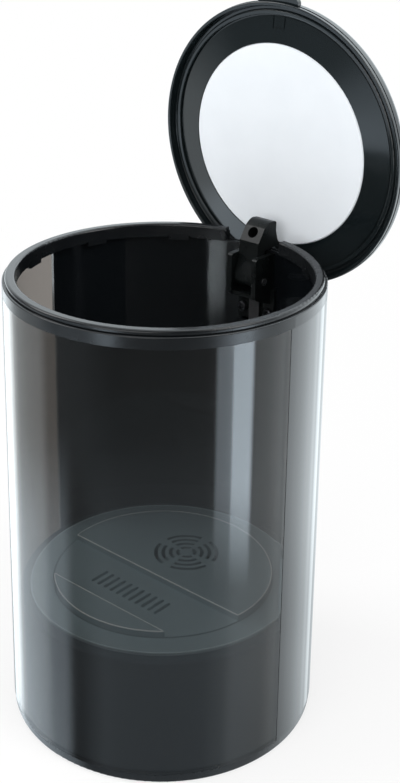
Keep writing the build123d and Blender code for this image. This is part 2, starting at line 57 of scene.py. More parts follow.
def addCamera(fit):
    heading, pitch, roll = (math.radians(fit[key]) for key in ("heading", "pitch", "roll"))
    flat = math.cos(pitch)
    ahead = Vector((-math.sin(heading) * flat, math.cos(heading) * flat, -math.sin(pitch)))
    level = Vector((math.cos(heading), math.sin(heading), 0))
    upright = level.cross(ahead)
    right = level * math.cos(roll) + upright * math.sin(roll)
    top = upright * math.cos(roll) - level * math.sin(roll)
    lens = bpy.data.cameras.new("mainCamera")
    lens.sensor_width = fit["sensor"]
    lens.lens = fit["lens"]
    lens.shift_y = fit["shiftY"]
    lens.clip_start = fit["nearest"]
    lens.clip_end = fit["farthest"]
    camera = bpy.data.objects.new("mainCamera", lens)
    scene.collection.objects.link(camera)
    facing = Matrix((right, top, -ahead)).transposed().to_4x4()
    camera.matrix_world = Matrix.Translation(fit["place"]) @ facing
    scene.camera = camera


addCamera(cameraFit)
print("camera placed")


# nodes that several materials share
def feed(tree, socket, value):
    # a plain value is set; anything else is the output of another node
    if isinstance(value, (int, float, list, tuple)):
        socket.default_value = value
    else:
        tree.links.new(value, socket)


def mathNode(tree, operation, *values):
    node = tree.nodes.new("ShaderNodeMath")
    node.operation = operation
    for slot, value in enumerate(values):
        feed(tree, node.inputs[slot], value)
    return node.outputs[0]


def vectorMath(tree, operation, *values, result="Vector"):
    node = tree.nodes.new("ShaderNodeVectorMath")
    node.operation = operation
    for slot, value in enumerate(values):
        feed(tree, node.inputs[slot], value)
    return node.outputs[result]


def spread(tree, value, low, high, toLow, toHigh):
    node = tree.nodes.new("ShaderNodeMapRange")
    labels = ("Value", "From Min", "From Max", "To Min", "To Max")
    for label, given in zip(labels, (value, low, high, toLow, toHigh)):
        feed(tree, node.inputs[label], given)
    return node.outputs["Result"]


def noiseNode(tree, coordinates, scale, detail, roughness=0.5):
    node = tree.nodes.new("ShaderNodeTexNoise")
    labels = ("Vector", "Scale", "Detail", "Roughness")
    for label, given in zip(labels, (coordinates, scale, detail, roughness)):
        feed(tree, node.inputs[label], given)
    return node.outputs["Fac"]


def objectPlace(tree):
    return tree.nodes.new("ShaderNodeTexCoord").outputs["Object"]


def mixColour(tree, share, first, second):
    node = tree.nodes.new("ShaderNodeMix")
    node.data_type = "RGBA"
    tree.links.new(share, node.inputs["Factor"])
    # sockets 6 and 7 are the two colours, and output 2 is their mix
    feed(tree, node.inputs[6], first)
    feed(tree, node.inputs[7], second)
    return node.outputs[2]


def mixShader(tree, share, first, second):
    node = tree.nodes.new("ShaderNodeMixShader")
    for slot, value in enumerate((share, first, second)):
        tree.links.new(value, node.inputs[slot])
    return node.outputs[0]


def newGroup(name, inputs, outputs):
    tree = bpy.data.node_groups.new(name, "ShaderNodeTree")
    for way, rows in (("INPUT", inputs), ("OUTPUT", outputs)):
        for label, kind in rows:
            tree.interface.new_socket(name=label, in_out=way, socket_type="NodeSocket" + kind)
    return tree, tree.nodes.new("NodeGroupInput"), tree.nodes.new("NodeGroupOutput")


# soft wipe marks and finger marks: a roughness value that varies over the surface
wipeLook = {"detail": 3.0, "roughness": 0.55, "low": 0.4, "high": 0.68}


def buildWipeMarks(look):
    tree, given, out = newGroup(
        "wipeMarks",
        [("Low Roughness", "Float"), ("High Roughness", "Float"), ("Scale", "Float")],
        [("Roughness", "Float")],
    )
    broad = noiseNode(tree, objectPlace(tree), given.outputs["Scale"], look["detail"], look["roughness"])
    mask = spread(tree, broad, look["low"], look["high"], 0.0, 1.0)
    ends = (given.outputs["Low Roughness"], given.outputs["High Roughness"])
    tree.links.new(spread(tree, mask, 0.0, 1.0, *ends), out.inputs["Roughness"])
    return tree


# fine moulded grain: a height and a slight colour change
grainLook = {"detail": 3.0, "roughness": 0.6, "patches": 60.0, "low": 0.35, "high": 0.7}


def buildMouldedGrain(look):
    tree, given, out = newGroup(
        "mouldedGrain",
        [("Scale", "Float"), ("Colour", "Color"), ("Worn Colour", "Color")],
        [("Height", "Float"), ("Colour", "Color")],
    )
    place = objectPlace(tree)
    grain = noiseNode(tree, place, given.outputs["Scale"], look["detail"], look["roughness"])
    patches = noiseNode(tree, place, look["patches"], look["detail"])
    share = spread(tree, patches, look["low"], look["high"], 0.0, 1.0)
    colour = mixColour(tree, share, given.outputs["Colour"], given.outputs["Worn Colour"])
    tree.links.new(grain, out.inputs["Height"])
    tree.links.new(colour, out.inputs["Colour"])
    return tree


# short scratches along X, for turned or drawn steel
scratchLook = {
    "stretch": (0.06, 1, 1), "scale": 3000.0, "detail": 3.0, "roughness": 0.7, "low": 0.3, "high": 0.7,
}


def buildDrawnScratches(look):
    tree, given, out = newGroup(
        "drawnScratches",
        [("Low Roughness", "Float"), ("High Roughness", "Float")],
        [("Roughness", "Float"), ("Height", "Float")],
    )
    stretch = tree.nodes.new("ShaderNodeMapping")
    stretch.inputs["Scale"].default_value = look["stretch"]
    tree.links.new(objectPlace(tree), stretch.inputs["Vector"])
    lines = noiseNode(tree, stretch.outputs["Vector"], look["scale"], look["detail"], look["roughness"])
    ends = (given.outputs["Low Roughness"], given.outputs["High Roughness"])
    tree.links.new(spread(tree, lines, look["low"], look["high"], *ends), out.inputs["Roughness"])
    tree.links.new(lines, out.inputs["Height"])
    return tree


wipeMarks = buildWipeMarks(wipeLook)
mouldedGrain = buildMouldedGrain(grainLook)
drawnScratches = buildDrawnScratches(scratchLook)


# materials
def newMaterial(name, colour, roughness, **sockets):
    material = bpy.data.materials.new(name)
    material.use_nodes = True
    tree = material.node_tree
    shader = tree.nodes["Principled BSDF"]
    shader.inputs["Base Color"].default_value = (*colour, 1)
    shader.inputs["Roughness"].default_value = roughness
    for key, value in sockets.items():
        shader.inputs[key.replace("_", " ")].default_value = value
    return material, tree, shader


def useGroup(tree, group, **values):
    node = tree.nodes.new("ShaderNodeGroup")
    node.node_tree = group
    for key, value in values.items():
        socket = node.inputs[key.replace("_", " ")]
        socket.default_value = (*value, 1) if isinstance(value, tuple) else value
    return node


def bumpFrom(tree, shader, height, depth, strength=1.0):
    bump = tree.nodes.new("ShaderNodeBump")
    bump.inputs["Strength"].default_value = strength
    bump.inputs["Distance"].default_value = depth
    tree.links.new(height, bump.inputs["Height"])
    tree.links.new(bump.outputs["Normal"], shader.inputs["Normal"])


def addGrain(tree, shader, look):
    colours = {"Colour": look["colour"], "Worn_Colour": look["worn"]}
    grain = useGroup(tree, mouldedGrain, Scale=look["grain"], **colours)
    tree.links.new(grain.outputs["Colour"], shader.inputs["Base Color"])
    return grain.outputs["Height"]


def addWipeMarks(tree, shader, scale, low, high):
    marks = useGroup(tree, wipeMarks, Low_Roughness=low, High_Roughness=high, Scale=scale)
    tree.links.new(marks.outputs["Roughness"], shader.inputs["Roughness"])


def setSheen(shader, look):
    # a weaker mirror-like sheen, for some moulded faces only
    if "sheen" in look:
        shader.inputs["Specular IOR Level"].default_value = look["sheen"]


# how much smoother and rougher than its own value a wiped grain gets
grainWipe = {"smoother": 0.04, "rougher": 0.06}


def grainedPlastic(name, look):
    material, tree, shader = newMaterial(name, look["colour"], look["roughness"])
    height = addGrain(tree, shader, look)
    low = look["roughness"] - grainWipe["smoother"]
    high = look["roughness"] + grainWipe["rougher"]
    addWipeMarks(tree, shader, look["marks"], low, high)
    bumpFrom(tree, shader, height, look["depth"])
    setSheen(shader, look)
    return material


def polishedPlastic(name, look):
    material, tree, shader = newMaterial(name, look["colour"], look["roughness"])
    addWipeMarks(tree, shader, look["marks"], look["roughness"], look["wiped"])
    ripple = noiseNode(tree, objectPlace(tree), look["ripple"], detail=1.0)
    bumpFrom(tree, shader, ripple, look["depth"])
    setSheen(shader, look)
    return material


satinBlack = grainedPlastic("satinBlack", {
    "colour": (0.005, 0.006, 0.007), "worn": (0.008, 0.009, 0.010), "roughness": 0.25,
    "grain": 2600.0, "marks": 60.0, "depth": 0.000004, "sheen": 0.38,
})
drumGrey = polishedPlastic("drumGrey", {
    "colour": (0.032, 0.050, 0.066), "roughness": 0.35, "wiped": 0.45,
    "marks": 40.0, "ripple": 120.0, "depth": 0.000004, "sheen": 0.1,
})
deckSlate = polishedPlastic("deckSlate", {
    "colour": (0.25, 0.36, 0.42), "roughness": 0.14, "wiped": 0.22,
    "marks": 40.0, "ripple": 120.0, "depth": 0.000004, "sheen": 0.3,
})
hingeBlack = grainedPlastic("hingeBlack", {
    "colour": (0.003, 0.004, 0.004), "worn": (0.005, 0.006, 0.006), "roughness": 0.28,
    "grain": 2600.0, "marks": 60.0, "depth": 0.000004, "sheen": 0.2,
})
polishedBlack = polishedPlastic("polishedBlack", {
    "colour": (0.004, 0.005, 0.006), "roughness": 0.05, "wiped": 0.08,
    "marks": 30.0, "ripple": 90.0, "depth": 0.000006,
})
lidGloss = polishedPlastic("lidGloss", {
    "colour": (0.006, 0.009, 0.010), "roughness": 0.10, "wiped": 0.15,
    "marks": 30.0, "ripple": 60.0, "depth": 0.000006,
})


def smokedClear(name, look):
    # tinted clear plastic; lamps shine through it, tinted, instead of casting a black shadow
    material, tree, shader = newMaterial(
        name, look["tint"], look["roughness"], IOR=look["bend"], Transmission_Weight=1.0
    )
    clear = tree.nodes.new("ShaderNodeBsdfTransparent")
    clear.inputs["Color"].default_value = (*look["shade"], 1)
    path = tree.nodes.new("ShaderNodeLightPath")
    surface = mixShader(tree, path.outputs["Is Shadow Ray"], shader.outputs[0], clear.outputs[0])
    tree.links.new(surface, tree.nodes["Material Output"].inputs["Surface"])
    return material


smokedWindow = smokedClear("smokedWindow", {
    "tint": (0.24, 0.225, 0.21), "roughness": 0.0, "bend": 1.49, "shade": (0.8, 0.79, 0.78),
})


def whiteDiffuser(name, look):
    material, tree, shader = newMaterial(name, look["colour"], look["roughness"])
    bumpFrom(tree, shader, addGrain(tree, shader, look), look["depth"], look["strength"])
    shader.inputs["Subsurface Weight"].default_value = look["milkiness"]
    shader.inputs["Subsurface Radius"].default_value = look["reach"]
    return material


panelWhite = whiteDiffuser("panelWhite", {
    "colour": (0.81, 0.85, 0.89), "worn": (0.79, 0.83, 0.87), "roughness": 0.6,
    "grain": 1500.0, "depth": 0.00002, "strength": 0.5,
    "milkiness": 0.25, "reach": (0.003, 0.003, 0.003),
})

# shared by all bare metals
metalLook = {"roughness": 0.3, "depth": 0.000008}


def bareSteel(name, look):
    material, tree, shader = newMaterial(name, look["colour"], metalLook["roughness"], Metallic=1.0)
    lines = useGroup(tree, drawnScratches, Low_Roughness=look["low"], High_Roughness=look["high"])
    tree.links.new(lines.outputs["Roughness"], shader.inputs["Roughness"])
    bumpFrom(tree, shader, lines.outputs["Height"], metalLook["depth"])
    return material


steel = bareSteel("steel", {"colour": (0.56, 0.57, 0.58), "low": 0.2, "high": 0.4})
blackSteel = bareSteel("blackSteel", {"colour": (0.045, 0.046, 0.05), "low": 0.3, "high": 0.45})
rubber = grainedPlastic("rubber", {
    "colour": (0.022, 0.022, 0.022), "worn": (0.04, 0.04, 0.038), "roughness": 0.75,
    "grain": 1300.0, "marks": 80.0, "depth": 0.00006,
})

# shared by both circuit boards
boardLook = {
    "roughness": 0.3,
    "scale": 130.0,
    "runWidth": 0.045,
    "runEdge": 0.1,
    "padScale": 260.0,
    "padScatter": 0.35,
    "padReach": 0.16,
    "padColour": (0.55, 0.56, 0.52, 1),
    "padMetal": 0.8,
    "depth": 0.00003,
}


def circuitBoard(name, look):
    # lacquered board: copper runs show as slightly paler lines, with small bright pads
    material, tree, shader = newMaterial(name, look["colour"], boardLook["roughness"])
    place = objectPlace(tree)
    brick = tree.nodes.new("ShaderNodeTexBrick")
    tree.links.new(place, brick.inputs["Vector"])
    for label, colour in (("Color1", look["colour"]), ("Color2", look["colour"]), ("Mortar", look["runs"])):
        brick.inputs[label].default_value = (*colour, 1)
    brick.inputs["Scale"].default_value = boardLook["scale"]
    brick.inputs["Mortar Size"].default_value = boardLook["runWidth"]
    brick.inputs["Mortar Smooth"].default_value = boardLook["runEdge"]
    pads = tree.nodes.new("ShaderNodeTexVoronoi")
    pads.inputs["Scale"].default_value = boardLook["padScale"]
    pads.inputs["Randomness"].default_value = boardLook["padScatter"]
    tree.links.new(place, pads.inputs["Vector"])
    isPad = mathNode(tree, "LESS_THAN", pads.outputs["Distance"], boardLook["padReach"])
    colour = mixColour(tree, isPad, brick.outputs["Color"], boardLook["padColour"])
    tree.links.new(colour, shader.inputs["Base Color"])
    metal = mathNode(tree, "MULTIPLY", isPad, boardLook["padMetal"])
    tree.links.new(metal, shader.inputs["Metallic"])
    bumpFrom(tree, shader, brick.outputs["Fac"], boardLook["depth"])
    return material


greenBoard = circuitBoard("greenBoard", {"colour": (0.015, 0.12, 0.05), "runs": (0.03, 0.2, 0.09)})
whiteBoard = circuitBoard("whiteBoard", {"colour": (0.75, 0.77, 0.76), "runs": (0.84, 0.85, 0.84)})
darkPart = grainedPlastic("darkPart", {
    "colour": (0.022, 0.022, 0.024), "worn": (0.034, 0.034, 0.036), "roughness": 0.45,
    "grain": 1600.0, "marks": 90.0, "depth": 0.00003,
})
ceramic = grainedPlastic("ceramic", {
    "colour": (0.78, 0.77, 0.72), "worn": (0.7, 0.69, 0.64), "roughness": 0.55,
    "grain": 2400.0, "marks": 120.0, "depth": 0.00004,
})
chipYellow = polishedPlastic("chipYellow", {
    "colour": (0.85, 0.72, 0.25), "roughness": 0.25, "wiped": 0.35,
    "marks": 200.0, "ripple": 400.0, "depth": 0.00001,
})
cellSleeve = polishedPlastic("cellSleeve", {
    "colour": (0.03, 0.14, 0.38), "roughness": 0.22, "wiped": 0.34,
    "marks": 70.0, "ripple": 500.0, "depth": 0.00003,
})
cableBlack = grainedPlastic("cableBlack", {
    "colour": (0.022, 0.022, 0.024), "worn": (0.03, 0.03, 0.032), "roughness": 0.45,
    "grain": 1500.0, "marks": 100.0, "depth": 0.00003,
})
leadRed = grainedPlastic("leadRed", {
    "colour": (0.42, 0.02, 0.02), "worn": (0.34, 0.02, 0.02), "roughness": 0.4,
    "grain": 1500.0, "marks": 100.0, "depth": 0.00003,
})
lightPipe = polishedPlastic("lightPipe", {
    "colour": (0.62, 0.78, 0.82), "roughness": 0.12, "wiped": 0.2,
    "marks": 120.0, "ripple": 300.0, "depth": 0.00001,
})

# by the material slot in the record
finishes = {
    "black_moulding": satinBlack,
    "black_gloss": polishedBlack,
    "smoked_window": smokedWindow,
    "white_diffuser": panelWhite,
    "rubber_pad": rubber,
    "steel": steel,
    "circuit_board": greenBoard,
    "white_board": whiteBoard,
    "dark_part": darkPart,
    "ceramic": ceramic,
    "light_chip": chipYellow,
    "cell_sleeve": cellSleeve,
    "cable_black": cableBlack,
    "lead_red": leadRed,
    "light_pipe": lightPipe,
}
# nodes whose finish differs from their slot's
ownFinish = {
    "base_drum": drumGrey,
    "chamber_deck": deckSlate,
    "item_tray": deckSlate,
    "lid_frame": lidGloss,
    "lid_cover": lidGloss,
    "lid_arm": hingeBlack,
    "hinge_bracket": hingeBlack,
    "cable_cover": polishedBlack,
    "bracket_screws": blackSteel,
}


def finishOf(piece, material):
    piece.data.materials.clear()
    piece.data.materials.append(material)


for row in frame["record"]["subparts"]:
    finishOf(nodes[row["node"]], ownFinish.get(row["node"], finishes[row["material_slot"]]))
print("finishes given to", len(nodes), "pieces")


# pieces modelled here
def newPiece(name, mesh, material, rider="case"):
    data = bpy.data.meshes.new(name)
    bmesh.ops.recalc_face_normals(mesh, faces=mesh.faces)
    mesh.to_mesh(data)
    mesh.free()
    piece = bpy.data.objects.new(name, data)
    scene.collection.objects.link(piece)
    data.materials.append(material)
    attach(piece, rider)
    return piece


def joinLoops(mesh, first, second, smooth=False):
    # a band of faces between two loops with as many points
    for step in range(len(first)):
        following = (step + 1) % len(first)
        corners = (first[step], first[following], second[following], second[step])
        mesh.faces.new(corners).smooth = smooth


def closeEnds(mesh, loops):
    mesh.faces.new(list(reversed(loops[0])))
    mesh.faces.new(loops[-1])


def sweepTube(mesh, points, radius, sides, closed=False, up=(0, 0, 1)):
    # a round wire along a list of points, which never runs along up
    rings = []
    count = len(points)
    for index, point in enumerate(points):
        before = points[(index - 1) % count] if closed or index else point
        after = points[(index + 1) % count] if closed or index < count - 1 else point
        along = (after - before).normalized()
        side = along.cross(Vector(up)).normalized()
        other = side.cross(along).normalized()
        ring = []
        for step in range(sides):
            turn = 2 * math.pi * step / sides
            place = point + side * radius * math.cos(turn) + other * radius * math.sin(turn)
            ring.append(mesh.verts.new(place))
        rings.append(ring)
    followers = rings[1:] + rings[:1] if closed else rings[1:]
    for first, second in zip(rings, followers):
        joinLoops(mesh, first, second, True)
    if not closed:
        closeEnds(mesh, rings)


def addBlock(mesh, low, high, soften):
    # a block with softened corners
    made = bmesh.ops.create_cube(mesh, size=1.0)["verts"]
    for vert in made:
        vert.co = Vector([low[axis] if vert.co[axis] < 0 else high[axis] for axis in range(3)])
    edges = list({edge for vert in made for edge in vert.link_edges})
    bmesh.ops.bevel(mesh, geom=edges, offset=soften, segments=2, affect="EDGES", profile=0.6)


def spinRing(mesh, centre, profile, steps):
    # a turned ring from a closed outline of (radius, height)
    loops = []
    for radius, height in profile:
        loop = []
        for step in range(steps):
            turn = 2 * math.pi * step / steps
            x = centre[0] + radius * math.cos(turn)
            y = centre[1] + radius * math.sin(turn)
            loop.append(mesh.verts.new((x, y, height)))
        loops.append(loop)
    for first, second in zip(loops, loops[1:] + loops[:1]):
        joinLoops(mesh, first, second, True)


# pale colours for the edge beads: painted highlights that stand for the glints along the deck's and the
# tray's edges
paintedHighlightBlue = polishedPlastic("paintedHighlightBlue", {
    "colour": (0.46, 0.62, 0.70), "roughness": 0.12, "wiped": 0.2,
    "marks": 60.0, "ripple": 200.0, "depth": 0.000004,
})
paintedHighlightPale = polishedPlastic("paintedHighlightPale", {
    "colour": (0.80, 0.90, 0.96), "roughness": 0.10, "wiped": 0.18,
    "marks": 60.0, "ripple": 200.0, "depth": 0.000004,
})
copper = bareSteel("copper", {"colour": (0.72, 0.36, 0.20), "low": 0.25, "high": 0.4})
goldPlate = bareSteel("goldPlate", {"colour": (0.86, 0.66, 0.30), "low": 0.18, "high": 0.32})
canMetal = bareSteel("canMetal", {"colour": (0.62, 0.63, 0.65), "low": 0.28, "high": 0.42})

# woven dust screen between the fan and the tray, and the rim that holds it
dustScreen = {
    "centre": (0.0, 0.014),
    "height": 0.04945,
    "reach": 0.0131,
    "pitch": 0.00095,
    "wire": 0.00011,
    "sides": 5,
    "wave": 0.00012,
    "endGap": 0.0001,
    "shortest": 0.0008,  # half of the shortest wire worth having
    "fewest": 4,  # steps along a wire
    "rimInside": 0.0004,
    "rimOutside": 0.00004,
    "rimHalf": 0.0003,
    "rimSteps": 64,
}


def buildScreen(look):
    mesh = bmesh.new()
    count = int(look["reach"] / look["pitch"])
    for turned in (False, True):
        for index in range(-count, count + 1):
            offset = index * look["pitch"]
            half = math.sqrt(max(look["reach"] ** 2 - offset**2, 0.0)) - look["endGap"]
            if half < look["shortest"]:
                continue
            # two steps to each crossing: over one wire, under the next
            steps = max(look["fewest"], int(2 * half / look["pitch"]) * 2)
            way = 1 if (index + turned) % 2 else -1
            points = []
            for step in range(steps + 1):
                run = -half + 2 * half * step / steps
                lift = look["wave"] * math.cos(math.pi * run / look["pitch"]) * way
                x, y = (offset, run) if turned else (run, offset)
                points.append(Vector((look["centre"][0] + x, look["centre"][1] + y, look["height"] + lift)))
            sweepTube(mesh, points, look["wire"], look["sides"])
    newPiece("dust_screen", mesh, blackSteel)
    rim = bmesh.new()
    inner, outer = look["reach"] - look["rimInside"], look["reach"] + look["rimOutside"]
    low, high = look["height"] - look["rimHalf"], look["height"] + look["rimHalf"]
    profile = [(inner, low), (outer, low), (outer, high), (inner, high)]
    spinRing(rim, look["centre"], profile, look["rimSteps"])
    newPiece("dust_screen_rim", rim, darkPart)


# enamelled wire on the coil of the main board
coilWire = {
    "centre": (0.024, 0.020),
    "radius": 0.00678,
    "wire": 0.00026,
    "sides": 6,
    "low": 0.0124,
    "turns": 10,
    "pitch": 0.00054,
    "steps": 40,
}


def buildCoil(look):
    mesh = bmesh.new()
    steps = look["steps"]
    points = []
    for step in range(look["turns"] * steps + 1):
        turn = 2 * math.pi * step / steps
        points.append(Vector((
            look["centre"][0] + look["radius"] * math.cos(turn),
            look["centre"][1] + look["radius"] * math.sin(turn),
            look["low"] + look["pitch"] * step / steps,
        )))
    sweepTube(mesh, points, look["wire"], look["sides"])
    newPiece("coil_winding", mesh, copper)


# bare ends of the two capacitor cans, scored with a cross
canTops = {
    "centres": [(0.012, 0.028), (0.012, 0.020)],
    "radius": 0.0027,
    "low": 0.0206,
    "lift": 0.00022,
    "score": 0.0003,
    "chamfer": 0.00006,
    "steps": 8,
}


def quarterOutline(wide, gap, steps):
    # one quarter of a round top, held back from the score on both sides
    start = math.asin(gap / wide)
    points = [(gap, gap)]
    for step in range(steps + 1):
        turn = start + (math.pi / 2 - 2 * start) * step / steps
        points.append((wide * math.cos(turn), wide * math.sin(turn)))
    return points


def buildCanTops(look):
    mesh = bmesh.new()
    low, high, wide = look["low"], look["low"] + look["lift"], look["radius"]
    flat = quarterOutline(wide, look["score"] / 2, look["steps"])
    levels = ((0.0, low), (0.0, high - look["chamfer"]), (look["chamfer"], high))
    for centreX, centreY in look["centres"]:
        for quarter in range(4):
            turn = quarter * math.pi / 2
            loops = []
            for shrink, height in levels:
                loop = []
                for x, y in flat:
                    x, y = x * (1 - shrink / wide), y * (1 - shrink / wide)
                    across = x * math.cos(turn) - y * math.sin(turn)
                    along = x * math.sin(turn) + y * math.cos(turn)
                    loop.append(mesh.verts.new((centreX + across, centreY + along, height)))
                loops.append(loop)
            for first, second in zip(loops, loops[1:]):
                joinLoops(mesh, first, second)
            closeEnds(mesh, loops)
    newPiece("capacitor_tops", mesh, canMetal)


# bent legs beside the chips
chipLegs = {
    "board": 0.0116,
    "chips": [
        # low x, high x, low y, high y, height, legs a side
        (0.014, 0.024, 0.002, 0.009, 0.0016, 8),
        (-0.004, 0.003, 0.004, 0.011, 0.0011, 5),
        (0.028, 0.033, -0.004, 0.001, 0.0013, 4),
        (-0.008, -0.003, 0.030, 0.035, 0.0013, 4),
    ],
    "reach": 0.0009,
    "width": 0.0004,
    "thick": 0.00015,
    "leaves": 0.55,  # as a share of the chip's height
    "bends": (0.4, 0.6),  # as shares of the reach
}


def buildLegs(look):
    mesh = bmesh.new()
    half, thick, reach = look["width"] / 2, look["thick"], look["reach"]
    shoulder, heel = look["bends"]
    foot = look["board"] + thick
    for lowX, highX, lowY, highY, height, count in look["chips"]:
        level = look["board"] + height * look["leaves"]
        for index in range(count):
            x = lowX + (highX - lowX) * (index + 0.5) / count
            for edge, way in ((lowY, -1), (highY, 1)):
                run = [
                    (edge, level),
                    (edge + way * reach * shoulder, level),
                    (edge + way * reach * heel, foot),
                    (edge + way * reach, foot),
                ]
                loops = []
                for y, top in run:
                    low = top - thick
                    corners = [(x - half, top), (x + half, top), (x + half, low), (x - half, low)]
                    loops.append([mesh.verts.new((across, y, upward)) for across, upward in corners])
                for first, second in zip(loops, loops[1:]):
                    joinLoops(mesh, first, second)
                closeEnds(mesh, loops)
    newPiece("chip_legs", mesh, canMetal)


# contact strips on both faces of the socket's tongue
contacts = {
    "count": 8,
    "span": 0.0052,
    "width": 0.00032,
    "front": 0.0562,
    "back": 0.0516,
    "top": 0.0136,
    "bottom": 0.0129,
    "lift": 0.00005,
    "soften": 0.00001,
}


def buildContacts(look):
    mesh = bmesh.new()
    half, lift = look["width"] / 2, look["lift"]
    faces = ((look["top"], look["top"] + lift), (look["bottom"] - lift, look["bottom"]))
    for index in range(look["count"]):
        x = -look["span"] / 2 + look["span"] * index / (look["count"] - 1)
        for low, high in faces:
            nearer, farther = (x - half, look["back"], low), (x + half, look["front"], high)
            addBlock(mesh, nearer, farther, look["soften"])
    newPiece("socket_contacts", mesh, goldPlate)


# fine beads along the upper edges of the tray and the deck: thin wires that catch real highlights, coloured
# pale so that they also show as painted highlights
highlightBeads = {
    "tray": {
        "reach": 0.04302,
        "height": 0.05442,
        "cuts": [(-0.03198, -1), (-0.00602, 1)],  # each side of the channel, and the way to its bead
        "wire": 0.00026,
        "arcSteps": 96,
        "sideSteps": 24,
    },
    "deck": {"reach": 0.05235, "height": 0.05185, "wire": 0.00026, "steps": 160},
    "sides": 8,
}


def buildHighlightBeads(look):
    tray, deck = look["tray"], look["deck"]
    reach, arcSteps, sideSteps = tray["reach"], tray["arcSteps"], tray["sideSteps"]
    mesh = bmesh.new()
    for line, way in tray["cuts"]:
        # the part of the round edge beyond the channel's side, then straight back along that side
        start = math.asin(line / reach)
        sweep = [start, math.pi - start] if way > 0 else [math.pi - start, 2 * math.pi + start]
        points = []
        for step in range(arcSteps + 1):
            turn = sweep[0] + (sweep[1] - sweep[0]) * step / arcSteps
            points.append(Vector((reach * math.cos(turn), reach * math.sin(turn), tray["height"])))
        half = reach * math.cos(start)
        for step in range(1, sideSteps):
            x = -way * half + way * 2 * half * step / sideSteps
            points.append(Vector((x, line, tray["height"])))
        sweepTube(mesh, points, tray["wire"], look["sides"], True)
    # the pale bead on the tray's edge is a painted highlight
    newPiece("tray_highlight_bead", mesh, paintedHighlightPale)
    mesh = bmesh.new()
    points = []
    for step in range(deck["steps"]):
        turn = 2 * math.pi * step / deck["steps"]
        x, y = deck["reach"] * math.cos(turn), deck["reach"] * math.sin(turn)
        points.append(Vector((x, y, deck["height"])))
    sweepTube(mesh, points, deck["wire"], look["sides"], True)
    # the pale blue bead on the deck's edge is a painted highlight
    newPiece("deck_highlight_bead", mesh, paintedHighlightBlue)


# fine metal ring let into the wall round the button
buttonRing = {"height": 0.030, "reach": 0.00548, "wire": 0.00024, "wall": 0.0599, "steps": 72, "sides": 8}


def buildButtonRing(look):
    mesh = bmesh.new()
    points = []
    for step in range(look["steps"]):
        turn = 2 * math.pi * step / look["steps"]
        x = look["reach"] * math.cos(turn)
        y = math.sqrt(look["wall"] ** 2 - x**2)
        points.append(Vector((x, y, look["height"] + look["reach"] * math.sin(turn))))
    sweepTube(mesh, points, look["wire"], look["sides"], True, (0, 1, 0))
    newPiece("button_ring", mesh, canMetal)


buildHighlightBeads(highlightBeads)
buildButtonRing(buttonRing)
buildScreen(dustScreen)
buildCoil(coilWire)
buildCanTops(canTops)
buildLegs(chipLegs)
buildContacts(contacts)
print("pieces modelled here are in place")


